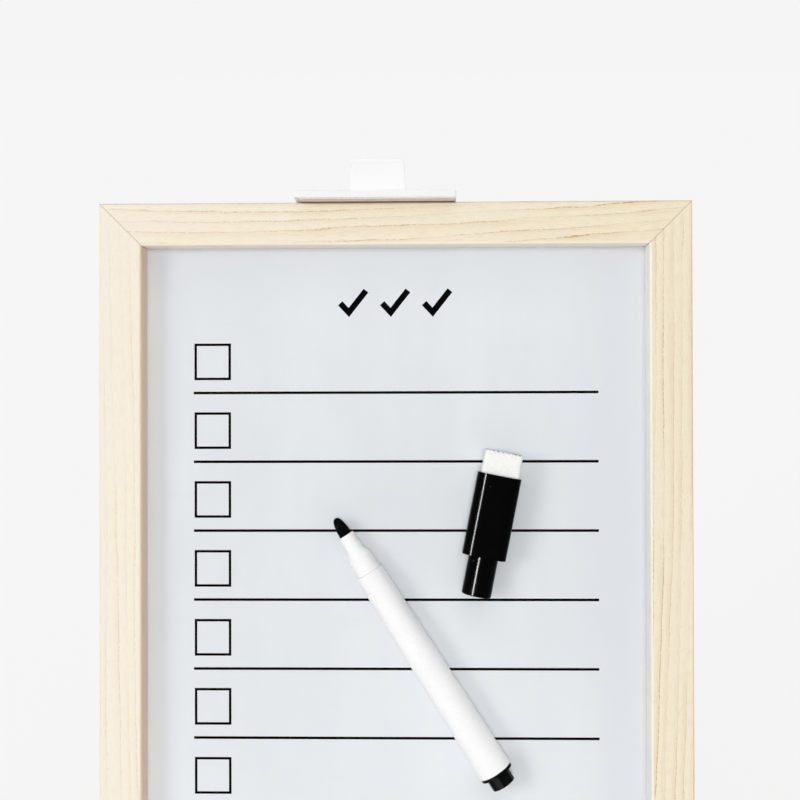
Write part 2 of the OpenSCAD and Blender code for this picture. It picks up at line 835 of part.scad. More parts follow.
// Rear plug: flange on the barrel's end, boss outside, skirt inside
module marker_plug() {
    color(black) lay_marker() translate([0, 0, plug_z]) {
        translate([0, 0, run]) cylinder(r = flange_r, h = flange_t - run);
        translate([0, 0, flange_t]) cylinder(r = boss_r, h = boss_l, $fn = 12);
        translate([0, 0, -plug_l])
            cylinder(r = barrel_rear_r - barrel_wall - plug_play, h = plug_l + flange_t / 2);
    }
}

module marker_magnet() {
    color(zinc) lay_marker() translate([0, 0, plug_z - plug_l - magnet_l - run])
        cylinder(r = barrel_rear_r - barrel_wall - magnet_play, h = magnet_l);
}

// ---------- cap with eraser ----------

module cap_tube() {
    color(black) lay_cap() rotate_extrude() polygon([
        [grip_bore_r, moulded_edge], [grip_bore_r + moulded_edge, 0],
        [tube_r - moulded_edge, 0], [tube_r, moulded_edge],
        [tube_r, tube_l - tube_end_t / 2], [tube_r - tube_end_t / 2, tube_l],
        [0, tube_l], [0, nose_bore_l],
        [nose_bore_r, nose_bore_l], [nose_bore_r, seal_end], [seal_seat_r, seal_end],
        [seal_seat_r, collar_l], [grip_bore_r, collar_l]]);
}

module cap_seal() {
    inner_r = nose_back_r + nose_play / 2;
    color(rubber_grey) lay_cap() rotate_extrude() translate([inner_r, collar_l])
        square([seal_seat_r - run - inner_r, seal_t - run]);
}

// Rounded sleeve over the closed end of the tube; felt and magnet go in from its end
module cap_sleeve() {
    color(black) lay_cap() difference() {
        translate([0, 0, mouth_l]) linear_extrude(sleeve_l)
            round_square(sleeve_w, sleeve_d, sleeve_r);
        translate([0, 0, mouth_l - 1]) cylinder(r = tube_r + run, h = tube_l - mouth_l + 1 + run);
        translate([0, 0, cap_end - felt_in]) linear_extrude(felt_in + 1)
            round_square(felt_in_w, felt_in_d, felt_in_r);
        translate([0, felt_in_d / 2 - magnet_t / 2, cap_end - felt_in - magnet_h / 2])
            cube([magnet_w + 2 * run, magnet_t + 2 * run, magnet_h + 2 * run], center = true);
    }
}

module cap_magnet() {
    color(zinc) lay_cap()
        translate([0, felt_in_d / 2 - magnet_t / 2, cap_end - felt_in - magnet_h / 2])
            cube([magnet_w, magnet_t, magnet_h - 2 * run], center = true);
}

module eraser_felt() {
    color(felt_white) lay_cap() {
        translate([0, 0, cap_end + run]) linear_extrude(felt_l) round_square(felt_w, felt_d, felt_r);
        translate([0, 0, cap_end - felt_in + run]) linear_extrude(felt_in)
            round_square(felt_in_w - 2 * run, felt_in_d - 2 * run, felt_in_r);
    }
}

rail_top();
rail_bottom();
stile_left();
stile_right();
corner_nails();
steel_face();
core_board();
retaining_points();
mast();
mast_cap();
base_bar();
base_pads();
ledge();
ledge_rivets();
leg_bracket();
bracket_rivets();
leg_pin();
rear_leg();
leg_foot();
clamp_plate();
clamp_pad();
clamp_block();
clamp_screws();
clamp_shoe();
clamp_stud();
clamp_knob();
marker_barrel();
marker_nose();
marker_nib();
marker_plug();
marker_reservoir();
marker_magnet();
cap_tube();
cap_seal();
cap_sleeve();
cap_magnet();
eraser_felt();
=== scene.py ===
"""Looks of the magnetic desk whiteboard easel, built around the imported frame."""
import json
import math

import bmesh
import bpy
from mathutils import Matrix, Vector


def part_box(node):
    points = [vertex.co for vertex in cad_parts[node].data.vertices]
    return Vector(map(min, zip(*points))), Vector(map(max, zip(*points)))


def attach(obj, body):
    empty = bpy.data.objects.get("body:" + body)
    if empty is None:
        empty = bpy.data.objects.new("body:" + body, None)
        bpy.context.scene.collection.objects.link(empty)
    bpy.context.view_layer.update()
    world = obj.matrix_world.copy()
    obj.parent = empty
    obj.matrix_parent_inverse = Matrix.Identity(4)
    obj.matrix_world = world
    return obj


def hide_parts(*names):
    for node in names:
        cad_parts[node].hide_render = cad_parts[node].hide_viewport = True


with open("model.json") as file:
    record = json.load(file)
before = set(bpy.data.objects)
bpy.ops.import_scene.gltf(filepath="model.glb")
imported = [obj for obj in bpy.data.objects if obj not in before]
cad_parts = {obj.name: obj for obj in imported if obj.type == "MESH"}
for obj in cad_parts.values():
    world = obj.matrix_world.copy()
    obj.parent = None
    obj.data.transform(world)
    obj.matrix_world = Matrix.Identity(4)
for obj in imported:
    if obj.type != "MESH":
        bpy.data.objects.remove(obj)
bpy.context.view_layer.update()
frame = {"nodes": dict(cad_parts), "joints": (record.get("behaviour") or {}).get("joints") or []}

MM = 0.001
NODES = frame["nodes"]

# ---------- the board's own directions, read from the frame ----------

JOINTS = {joint["name"]: joint for joint in frame["joints"]}
OUT = Vector(JOINTS["marker_lift"]["axis"]).normalized()    # straight out of the writing face
UP = Vector(JOINTS["clamp_slide"]["axis"]).normalized()     # up along the board
LEAN = math.atan2(UP.y, UP.z)

FACE_T = 0.5           # steel face, mm
PANEL_EDGE = 6.25      # from the frame's lower edge to the panel's
RECESS = 10.0          # from the frame's front to the writing face
FRAME_D = 18.0
BOARD_W = 222.0
BOARD_H = 309.0

_face_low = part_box("steel_face")[0]
# Lower edge of the frame, in the plane of the writing face, on the board's middle line
FACE_ORIGIN = (Vector((0, _face_low.y, _face_low.z + FACE_T * MM * OUT.z))
               - UP * PANEL_EDGE * MM)


def on_face(u, v, out=0.0):
    """A point u to the right, v up and out in front of the writing face, all in mm."""
    return FACE_ORIGIN + Vector((u, 0, 0)) * MM + UP * v * MM + OUT * out * MM


def face_matrix(u, v, out=0.0, slant=0.0):
    """Axes on the board: X right, Y into the board, Z up; slant leans Z to the right."""
    tilt = Matrix.Rotation(-LEAN, 4, "X") @ Matrix.Rotation(slant, 4, "Y")
    return Matrix.Translation(on_face(u, v, out)) @ tilt


# The eraser cap lies on the face: its mouth's place and its slant, as the frame has them
CAP_U = 30.3
CAP_V = 161.6
CAP_SLANT = math.radians(11.2)
SLEEVE_D = 13.0
REST_GAP = 0.3
CAP_MATRIX = face_matrix(CAP_U, CAP_V, REST_GAP + SLEEVE_D / 2, CAP_SLANT)
CAP_END = 45.8         # from the mouth to the sleeve's far end
FELT_L = 9.0
FELT_W = 14.6
FELT_D = 10.4


# ---------- node graphs ----------

class Graph:
    """Short spelling for a material's nodes."""

    def __init__(self, name):
        self.material = bpy.data.materials.new(name)
        self.material.use_nodes = True
        self.tree = self.material.node_tree
        self.shader = self.tree.nodes["Principled BSDF"]

    def node(self, kind, inputs=None, **settings):
        made = self.tree.nodes.new(kind)
        for key, value in settings.items():
            setattr(made, key, value)
        for key, value in (inputs or {}).items():
            self.set(made.inputs[key], value)
        return made

    def set(self, socket, value):
        if isinstance(value, bpy.types.NodeSocket):
            self.tree.links.new(value, socket)
        else:
            socket.default_value = value

    def math(self, operation, a, b=0.0, c=0.0):
        return self.node("ShaderNodeMath", {0: a, 1: b, 2: c}, operation=operation).outputs[0]

    def object_coords(self):
        return self.node("ShaderNodeTexCoord").outputs["Object"]

    def board_coords(self):
        """Object coordinates turned upright: X right, Y into the board, Z up the board."""
        return self.node("ShaderNodeMapping", {"Vector": self.moved(-FACE_ORIGIN),
                                               "Rotation": (LEAN, 0, 0)}).outputs[0]

    def cap_coords(self):
        """Object coordinates along the cap: its mouth at 0 and Z towards the felt."""
        turned = self.node("ShaderNodeMapping", {
            "Vector": self.moved(-CAP_MATRIX.to_translation()),
            "Rotation": tuple(CAP_MATRIX.to_3x3().inverted().to_euler())})
        return turned.outputs[0]

    def moved(self, offset):
        return self.node("ShaderNodeVectorMath", {0: self.object_coords(), 1: tuple(offset)},
                         operation="ADD").outputs[0]

    def scaled(self, vector, scale):
        return self.node("ShaderNodeVectorMath", {0: vector, 1: scale},
                         operation="MULTIPLY").outputs[0]

    def noise(self, vector, scale, detail=2.0, roughness=0.5):
        return self.node("ShaderNodeTexNoise", {"Vector": vector, "Scale": scale,
                                                "Detail": detail,
                                                "Roughness": roughness}).outputs["Fac"]

    def ramp(self, value, low, high, to_low=0.0, to_high=1.0, smooth=True):
        return self.node("ShaderNodeMapRange",
                         {0: value, 1: low, 2: high, 3: to_low, 4: to_high},
                         interpolation_type="SMOOTHSTEP" if smooth else "LINEAR").outputs[0]

    def mix(self, factor, a, b):
        made = self.node("ShaderNodeMix", data_type="RGBA")
        self.set(made.inputs[0], factor)
        self.set(made.inputs[6], a)
        self.set(made.inputs[7], b)
        return made.outputs[2]

    def bump(self, height, distance, strength=1.0, edge=0.0):
        """Relief from a height in metres; edge is the radius of softened edges, also in metres."""
        made = self.node("ShaderNodeBump", {"Height": height, "Distance": distance,
                                            "Strength": strength})
        if edge:
            soft = self.node("ShaderNodeBevel", {"Radius": edge}, samples=4)
            self.set(made.inputs["Normal"], soft.outputs[0])
        self.set(self.shader.inputs["Normal"], made.outputs[0])

    def surface(self, **inputs):
        names = {"color": "Base Color", "roughness": "Roughness", "metallic": "Metallic",
                 "specular": "Specular IOR Level", "sheen": "Sheen Weight",
                 "sheen_roughness": "Sheen Roughness"}
        for key, value in inputs.items():
            self.set(self.shader.inputs[names[key]], value)
        return self.material


def srgb(r, g, b):
    """A colour given as it looks on screen, 0 to 255, as a linear RGBA."""
    def linear(c):
        c /= 255
        return c / 12.92 if c <= 0.04045 else ((c + 0.055) / 1.055) ** 2.4
    return (linear(r), linear(g), linear(b), 1.0)


# ---------- materials ----------

LIGHT_SPECK = srgb(255, 252, 242)
MITRE_BROWN = srgb(134, 100, 66)
RING_STEP = 3.9        # mm between two growth rings on the face
RING_TURN = 0.7        # how far the rings move across for each mm into the rail
RING_WANDER = 3.4      # how many ring steps a line strays by along the rail
RING_RIPPLE = 0.35     # and in its small ripple
HALO = 0.2             # strength of the shade beside a ring's line
STREAKS = 0.30         # strength of the fine streaks
SPECKS = 0.34          # and of the light specks
WOOD_RELIEF = 0.05     # depth of the grain, mm
MITRE_LINE = 0.11      # half width of the mitre's dark line, mm
RAIL_W = 16.0
RIM_W = 0.9            # width of the eased inner edge, which takes painted light and shade
ARRIS_W = 0.6          # width of the slightly darker outer edge
PAD_SHADE_DEPTH = 1.5         # how far in front of the frame the clamp's pad takes a painted contact shadow, mm
# colour of the painted contact shadow on the clamp's pad
CONTACT_SHADE_BROWN = srgb(128, 84, 66)
INNER_FROM = 0.6       # how far behind the frame's front its inner sides take painted light and shade, mm
STAIN_FADE = 3.0       # how far the eraser's grey dust reaches back from its end, mm
STAIN_RIM = 0.5        # and its black specks
END_LAYER = 0.12       # depth of its smudged end, mm
STAIN_GREY = srgb(90, 90, 92)
SMUDGE_GREY = srgb(112, 112, 115)
STAIN_BLACK = srgb(38, 38, 40)


def wood(name, along, near, far, line_color, clear, slope, bow, shift, inner=None, rim=None):
    """Pale close-grained wood. along is the axis that the grain runs on, 0 for X and 2 for Z;
    near and far are its ground colours at the low and the high end of that axis; clear is
    how clearly the ring lines show at each end, slope and bow how much they drift across
    the rail, and shift moves them. inner is painted light and shade on the side that faces
    the panel, and rim painted light and shade on the eased edge before it."""
    g = Graph(name)
    coords = g.board_coords()
    axes = g.node("ShaderNodeSeparateXYZ", {0: coords}).outputs
    run, across, depth = axes[along], axes[2 - along], axes[1]
    lows, highs = ((-BOARD_W / 2, BOARD_W / 2), (0, BOARD_H))[along == 2]

    def stretched(amount):
        scale = [1.0, 1.0, 1.0]
        scale[along] = amount
        return g.scaled(coords, tuple(scale))

    # How many growth rings lie between a point and the rail's edge
    middle = g.math("SUBTRACT", run, (lows + highs) / 2 * MM)
    drift = g.math("MULTIPLY_ADD", middle, g.math("MULTIPLY_ADD", middle, bow, slope), across)
    through = g.math("MULTIPLY_ADD", depth, RING_TURN, drift)
    wander = g.noise(stretched(0.06), 60.0, 2.0)
    ripple = g.noise(stretched(0.16), 520.0, 2.0)
    bend = g.math("MULTIPLY_ADD", wander, RING_WANDER, g.math("MULTIPLY", ripple, RING_RIPPLE))
    rings = g.math("ADD", g.math("MULTIPLY_ADD", through, 1000 / RING_STEP, shift), bend)
    phase = g.math("FRACT", rings)
    number = g.node("ShaderNodeTexWhiteNoise", {"W": g.math("FLOOR", rings)},
                    noise_dimensions="1D").outputs["Value"]
    fall = g.ramp(phase, 0.95, 1.0, 1.0, 0.0)
    line = g.math("MULTIPLY", g.ramp(phase, 0.86, 0.94), fall)
    halo = g.math("MULTIPLY", g.ramp(phase, 0.25, 0.92), fall)

    # The lines break up into pores, and come and go along the rail
    pores = g.ramp(g.noise(stretched(0.28), 2600.0, 3.0, 0.6), 0.38, 0.58)
    fade = g.ramp(g.noise(stretched(0.08), 230.0, 2.0), 0.36, 0.62, 0.22, 1.05)
    weight = g.math("MULTIPLY", fade, g.ramp(number, 0.05, 0.95, 0.12, 1.3, False))
    line = g.math("MULTIPLY", line, g.math("MULTIPLY", pores, weight))
    streaks = g.ramp(g.noise(stretched(0.07), 3300.0, 3.0, 0.65), 0.48, 0.72)
    specks = g.ramp(g.noise(coords, 2400.0, 3.0, 0.7), 0.30, 0.70)

    ground = g.mix(g.ramp(run, lows * MM, highs * MM, 0.0, 1.0, False), near, far)
    clearness = g.ramp(run, lows * MM, highs * MM, clear[0], clear[1], False)
    halo = g.math("MULTIPLY", g.math("MULTIPLY", halo, fade), g.math("MULTIPLY", clearness, HALO))
    color = g.mix(halo, ground, line_color)
    color = g.mix(g.math("MULTIPLY", streaks, STREAKS), color, line_color)
    color = g.mix(g.math("MULTIPLY", specks, SPECKS), color, LIGHT_SPECK)
    color = g.mix(g.math("MULTIPLY", line, clearness), color, line_color)

    # Distances from the frame's outer edges
    side = g.math("SUBTRACT", BOARD_W / 2 * MM, g.math("ABSOLUTE", axes[0]))
    half = g.math("ABSOLUTE", g.math("SUBTRACT", axes[2], BOARD_H / 2 * MM))
    end = g.math("SUBTRACT", BOARD_H / 2 * MM, half)
    edge = g.math("MINIMUM", side, end)
    # Painted light and shade on the inner sides and on the eased inner edge before them
    if inner:
        inside = g.ramp(edge, (RAIL_W - RIM_W) * MM, (RAIL_W - 0.6 * RIM_W) * MM)
        below = g.ramp(depth, (INNER_FROM - RECESS) * MM, (INNER_FROM + 0.4 - RECESS) * MM)
        color = g.mix(g.math("MULTIPLY", inside, 0.85), color, rim)
        color = g.mix(g.math("MULTIPLY", inside, below), color, inner)
    arris = g.math("MULTIPLY", g.ramp(edge, 0.2 * MM, ARRIS_W * MM, 1.0, 0.0),
                   g.ramp(depth, (0.1 - RECESS) * MM, (ARRIS_W - RECESS) * MM, 0.6, 0.0))
    color = g.mix(arris, color, line_color)

    # Dark hairline where two rails meet: equally far from both outer edges
    gap = g.math("ABSOLUTE", g.math("SUBTRACT", side, end))
    mitre = g.ramp(gap, MITRE_LINE * 0.5 * MM, MITRE_LINE * 1.5 * MM, 0.7, 0.0)
    color = g.mix(mitre, color, MITRE_BROWN)

    height = g.math("MULTIPLY_ADD", line, -0.8, g.math("MULTIPLY", streaks, -0.35))
    g.bump(g.math("MULTIPLY_ADD", mitre, -3.0, height), WOOD_RELIEF * MM, 0.6)
    return g.surface(color=color, roughness=g.ramp(specks, 0.0, 1.0, 0.52, 0.62, False),
                     specular=0.3)


# Painted light and shade on the enamel, lighter towards its foot and darker along its top and
# its right side: where each change starts and ends, mm up the board or to the right, its
# strength and its colour
FOOT_PAINTED_LIGHT = (170, 60, 0.6, srgb(237, 241, 245))
TOP_PAINTED_SHADE = (262, 292, 0.6, srgb(219, 222, 227))
RIGHT_PAINTED_SHADE = (62, 94, 0.8, srgb(215, 218, 223))


def enamel():
    """Cool white writing enamel with a faint haze left by the eraser, and bands of painted
    light and shade at its foot, its top and its right side.
    """
    g = Graph("writing_enamel")
    coords = g.board_coords()
    haze = g.noise(g.scaled(coords, (1.0, 1.0, 0.35)), 22.0, 4.0, 0.6)
    wipes = g.noise(g.scaled(coords, (0.15, 1.0, 1.0)), 120.0, 3.0, 0.6)
    place = g.node("ShaderNodeSeparateXYZ", {0: coords}).outputs
    side, height = place[0], place[2]
    color = g.mix(g.ramp(haze, 0.3, 0.7), srgb(225, 229, 233), srgb(231, 235, 238))
    # Bands of painted light and shade: lighter at the foot, darker at the top and the right
    for along, tone in ((height, FOOT_PAINTED_LIGHT), (height, TOP_PAINTED_SHADE), (side, RIGHT_PAINTED_SHADE)):
        start, finish, strength, tint = tone
        color = g.mix(g.ramp(along, start * MM, finish * MM, 0.0, strength), color, tint)
    color = g.mix(g.ramp(wipes, 0.5, 0.8, 0.0, 0.2), color, srgb(220, 225, 229))
    g.bump(g.noise(coords, 900.0, 2.0), 0.004 * MM, 0.5)
    return g.surface(color=color, roughness=g.ramp(wipes, 0.3, 0.7, 0.34, 0.46, False),
                     specular=0.35)


COAT_EDGE = 0.2        # radius of a powder-coated edge, mm
MOULDED_EDGE = 0.25    # and of a moulded one
PEEL = 0.02            # depth of the orange peel, mm
FLOW = 0.02            # and of the flow waves in polished plastic


def powder_coat():
    """White powder coat with a fine orange peel."""
    g = Graph("white_powder_coat")
    coords = g.object_coords()
    peel = g.noise(coords, 1400.0, 2.0)
    tone = g.noise(coords, 60.0, 3.0)
    color = g.mix(g.ramp(tone, 0.3, 0.7), srgb(246, 246, 246), srgb(249, 249, 249))
    g.bump(peel, PEEL * MM, 0.5, edge=COAT_EDGE * MM)
    return g.surface(color=color, roughness=g.ramp(peel, 0.3, 0.7, 0.42, 0.52, False))


def moulded(name, low, high, rough, grain_size=1800.0, depth=0.012):
    """Moulded plastic with a fine spark-eroded texture."""
    g = Graph(name)
    coords = g.object_coords()
    grain = g.noise(coords, grain_size, 3.0, 0.6)
    tone = g.noise(coords, 90.0, 2.0)
    g.bump(grain, depth * MM, 0.5, edge=MOULDED_EDGE * MM)
    return g.surface(color=g.mix(g.ramp(tone, 0.3, 0.7), low, high),
                     roughness=g.ramp(grain, 0.3, 0.7, rough - 0.05, rough + 0.05, False))


PLASTIC_BLACK = (0.001, 0.001, 0.0012, 1)
DUST = (0.45, 0.45, 0.46, 1)


def gloss_black(name, specular, rough):
    """Polished black moulding with faint flow waves and a few specks of dust."""
    g = Graph(name)
    coords = g.object_coords()
    waves = g.noise(coords, 180.0, 2.0)
    cells = g.node("ShaderNodeTexVoronoi", {"Vector": coords, "Scale": 520.0,
                                            "Randomness": 1.0})
    pick = g.noise(coords, 260.0, 1.0)
    speck = g.math("MULTIPLY", g.ramp(cells.outputs["Distance"], 0.05, 0.10, 1.0, 0.0),
                   g.ramp(pick, 0.66, 0.70))
    color = g.mix(g.math("MULTIPLY", speck, 0.5), PLASTIC_BLACK, DUST)
    g.bump(waves, FLOW * MM, 0.4, edge=MOULDED_EDGE * MM)
    return g.surface(color=color, specular=specular,
                     roughness=g.ramp(waves, 0.3, 0.7, rough, rough + 0.06, False))


def plated(name, color_a, color_b, rough, brushed=(1.0, 1.0, 0.1)):
    """Plated or turned metal with fine brush marks."""
    g = Graph(name)
    coords = g.object_coords()
    marks = g.noise(g.scaled(coords, brushed), 2500.0, 3.0, 0.6)
    stain = g.noise(coords, 140.0, 3.0)
    g.bump(marks, 0.004 * MM, 0.5)
    return g.surface(color=g.mix(g.ramp(stain, 0.3, 0.7), color_a, color_b), metallic=1.0,
                     roughness=g.ramp(marks, 0.3, 0.7, rough - 0.06, rough + 0.08, False))


def rubber(name, low, high, shade_from=None):
    """Matt rubber. Behind the depth that its last argument gives, mm from the writing face,
    it takes a painted contact shadow.
    """
    g = Graph(name)
    coords = g.board_coords()
    grain = g.noise(coords, 1100.0, 4.0, 0.65)
    color = g.mix(g.ramp(grain, 0.3, 0.7), low, high)
    # Painted contact shadow where the pad meets the frame's top
    if shade_from:
        depth = g.node("ShaderNodeSeparateXYZ", {0: coords}).outputs[1]
        contact_shade = g.ramp(depth, shade_from * MM, (shade_from + 0.4) * MM, 0.0, 0.9)
        color = g.mix(contact_shade, color, CONTACT_SHADE_BROWN)
    g.bump(grain, 0.04 * MM, 0.7)
    return g.surface(color=color, specular=0.3,
                     roughness=g.ramp(grain, 0.3, 0.7, 0.72, 0.86, False))


def fibreboard():
    """Brown hardboard: pressed fibres in every direction."""
    g = Graph("fibreboard")
    coords = g.board_coords()
    chips = g.noise(coords, 420.0, 5.0, 0.7)
    flecks = g.noise(g.scaled(coords, (1.0, 1.0, 0.2)), 1300.0, 3.0)
    color = g.mix(g.ramp(chips, 0.3, 0.7), srgb(132, 98, 66), srgb(164, 128, 92))
    color = g.mix(g.ramp(flecks, 0.55, 0.75, 0.0, 0.5), color, srgb(104, 74, 48))
    g.bump(chips, 0.08 * MM, 0.6)
    return g.surface(color=color, roughness=g.ramp(chips, 0.3, 0.7, 0.70, 0.85, False),
                     specular=0.2)


def inked_fibre():
    """Bonded fibre soaked with black ink, a little wet at the tip, with lighter patches of
    painted glint.
    """
    g = Graph("inked_fibre")
    coords = g.object_coords()
    fibres = g.noise(g.scaled(coords, (1.0, 1.0, 0.3)), 3200.0, 4.0, 0.7)
    # Lighter patches of painted glint on the fibres
    painted_glints = g.math("MULTIPLY", g.ramp(g.noise(coords, 420.0, 2.0), 0.52, 0.66),
                 g.ramp(fibres, 0.48, 0.62))
    g.bump(fibres, 0.05 * MM, 0.8)
    color = g.mix(g.ramp(fibres, 0.3, 0.7), (0.0004, 0.0004, 0.0004, 1),
                  (0.004, 0.004, 0.0044, 1))
    return g.surface(color=g.mix(painted_glints, color, (0.03, 0.03, 0.032, 1)),
                     roughness=g.ramp(fibres, 0.3, 0.7, 0.40, 0.65, False), specular=0.02)


def felt(name, worn=None):
    """Pressed white felt. worn is how far up the cap, in metres, its inked end lies."""
    g = Graph(name)
    coords = g.object_coords() if worn is None else g.cap_coords()
    fibres = g.noise(coords, 1500.0, 6.0, 0.75)
    clumps = g.noise(coords, 1200.0, 3.0, 0.6)
    color = g.mix(g.ramp(fibres, 0.35, 0.65), srgb(245, 246, 241), srgb(253, 254, 250))
    if worn is not None:
        level = g.node("ShaderNodeSeparateXYZ", {0: coords}).outputs[2]
        dusty = g.math("MULTIPLY", g.ramp(level, worn - STAIN_FADE * MM, worn),
                       g.ramp(clumps, 0.46, 0.60))
        rim = g.math("MULTIPLY", g.ramp(level, worn - STAIN_RIM * MM, worn - 0.4 * STAIN_RIM * MM),
                     g.ramp(clumps, 0.50, 0.56))
        end = g.ramp(level, worn - END_LAYER * MM, worn - 0.07 * MM)
        smudge = g.math("MULTIPLY", end, g.ramp(g.noise(coords, 300.0, 3.0), 0.35, 0.7, 0.15, 0.6))
        color = g.mix(g.math("MULTIPLY", dusty, 0.12), color, STAIN_GREY)
        color = g.mix(smudge, color, SMUDGE_GREY)
        rim = g.math("MULTIPLY", rim, g.ramp(end, 0.0, 1.0, 1.0, 0.3))
        color = g.mix(rim, color, STAIN_BLACK)
    g.bump(g.math("ADD", fibres, g.math("MULTIPLY", clumps, 0.25)), 0.03 * MM, 0.6)
    return g.surface(color=color, roughness=g.ramp(fibres, 0.3, 0.7, 0.85, 0.98, False),
                     specular=0.1, sheen=0.25, sheen_roughness=0.5)


def ink_print():
    """Screen-printed black ink, slightly uneven in density."""
    g = Graph("printed_ink")
    density = g.noise(g.board_coords(), 500.0, 3.0, 0.6)
    g.bump(density, 0.004 * MM, 0.5)
    return g.surface(color=g.mix(g.ramp(density, 0.3, 0.7), (0.0, 0.0, 0.0, 1),
                                 (0.003, 0.003, 0.003, 1)),
                     roughness=g.ramp(density, 0.3, 0.7, 0.45, 0.6, False), specular=0.03)


def dress(material, *names):
    """Give CAD nodes a material in all their slots."""
    for name in names:
        slots = NODES[name].data.materials
        slots.clear()
        slots.append(material)


GRAIN_X, GRAIN_Z = 0, 2
# The last two colours of each rail are painted light and shade: on its inner side and on its eased
# inner edge
dress(wood("wood_top", GRAIN_X, srgb(248, 237, 218), srgb(240, 225, 194),
           srgb(200, 160, 92), (0.55, 1.3), -0.035, -0.34, 0.15,
           srgb(255, 250, 240), srgb(255, 248, 232)), "rail_top")
dress(wood("wood_bottom", GRAIN_X, srgb(247, 236, 217), srgb(243, 229, 203),
           srgb(196, 154, 92), (0.85, 0.65), 0.03, 0.2, 0.6,
           srgb(252, 244, 230), srgb(255, 248, 232)), "rail_bottom")
dress(wood("wood_left", GRAIN_Z, srgb(250, 241, 222), srgb(248, 237, 218),
           srgb(218, 190, 146), (0.6, 0.5), 0.012, 0.03, 0.35,
           srgb(239, 217, 196), srgb(240, 214, 170)), "stile_left")
dress(wood("wood_right", GRAIN_Z, srgb(244, 231, 204), srgb(241, 227, 199),
           srgb(198, 158, 94), (1.2, 1.2), -0.022, 0.04, 0.8,
           srgb(255, 254, 248), srgb(255, 250, 234)), "stile_right")
dress(enamel(), "steel_face")
dress(fibreboard(), "core_board")
dress(powder_coat(), "mast", "base_bar", "ledge", "leg_bracket", "rear_leg", "clamp_plate")
dress(moulded("white_moulding", srgb(246, 246, 246), srgb(250, 250, 250), 0.45),
      "mast_cap", "clamp_block", "clamp_knob")
dress(moulded("marker_moulding", srgb(251, 251, 252), srgb(254, 254, 254), 0.30, 1200.0, 0.006),
      "marker_barrel", "marker_nose")
dress(gloss_black("cap_plastic", 0.016, 0.10), "cap_tube", "cap_sleeve")
dress(gloss_black("plug_plastic", 0.04, 0.20), "marker_plug")
dress(plated("zinc_plate", srgb(196, 198, 202), srgb(214, 215, 218), 0.28),
      "corner_nails", "retaining_points", "ledge_rivets", "bracket_rivets", "leg_pin",
      "clamp_screws", "clamp_stud")
dress(plated("turned_brass", srgb(206, 176, 104), srgb(222, 194, 124), 0.26), "clamp_shoe")
dress(plated("nickel_plate", srgb(205, 205, 206), srgb(220, 220, 221), 0.18),
      "marker_magnet", "cap_magnet")
dress(rubber("dark_rubber", (0.020, 0.020, 0.022, 1), (0.045, 0.045, 0.048, 1)),
      "base_pads", "leg_foot", "cap_seal")
# The pad takes a painted contact shadow where it meets the frame's top
dress(rubber("pale_pad", srgb(222, 212, 198), srgb(236, 228, 216), -RECESS - PAD_SHADE_DEPTH),
      "clamp_pad")
dress(inked_fibre(), "marker_nib")
dress(felt("reservoir_felt"), "marker_reservoir")


# ---------- meshes ----------

def add_object(name, mesh, material, body, smooth=False):
    for polygon in mesh.polygons:
        polygon.use_smooth = smooth
    piece = bpy.data.objects.new(name, mesh)
    bpy.context.scene.collection.objects.link(piece)
    mesh.materials.append(material)
    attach(piece, body)
    return piece


# ---------- eraser felt ----------

FELT_INSET = 0.05      # kept inside the solid that it stands for
FELT_CORNER = 1.3
FELT_SAG = 0.25        # how far the sides draw in halfway along
FELT_ROOT = 3.0        # how deep it sits in the sleeve
FELT_ROOT_SIDE = 1.65  # from its outside to the sleeve's inner wall
FELT_DOME = 0.55       # how far its end rounds in, as a share of its corner
ARC_STEPS = 6
SIDE_STEPS = 10
LEVELS = 26


def rounded_ring(half_w, half_d, radius, steps, along):
    """Points round a rectangle with round corners, with extra ones along its sides."""
    ring = []
    for quarter, (sx, sy) in enumerate(((1, 1), (-1, 1), (-1, -1), (1, -1))):
        for step in range(steps + 1):
            angle = math.pi / 2 * (quarter + step / steps)
            ring.append(Vector((sx * (half_w - radius) + radius * math.cos(angle),
                                sy * (half_d - radius) + radius * math.sin(angle))))
    filled = []
    for i, point in enumerate(ring):
        after = ring[(i + 1) % len(ring)]
        filled.append(point)
        if (after - point).length > 2 * radius / steps * math.pi / 2:
            filled += [point.lerp(after, k / along) for k in range(1, along)]
    return filled


def felt_section(t):
    """Half width, half depth, corner and height of the felt at t, 0 in the sleeve and 1 outside."""
    root = FELT_ROOT / (FELT_ROOT + FELT_L)
    height = t * (FELT_ROOT + FELT_L) - FELT_ROOT
    inset = FELT_ROOT_SIDE if t < root else FELT_INSET
    if t >= root:
        inset += FELT_SAG * math.sin(math.pi * (t - root) / (1 - root))
    near_end = max(0.0, height - (FELT_L - FELT_CORNER)) / FELT_CORNER
    inset += FELT_DOME * FELT_CORNER * (1 - math.sqrt(max(0.0, 1 - near_end * near_end)))
    return FELT_W / 2 - inset, FELT_D / 2 - inset, height


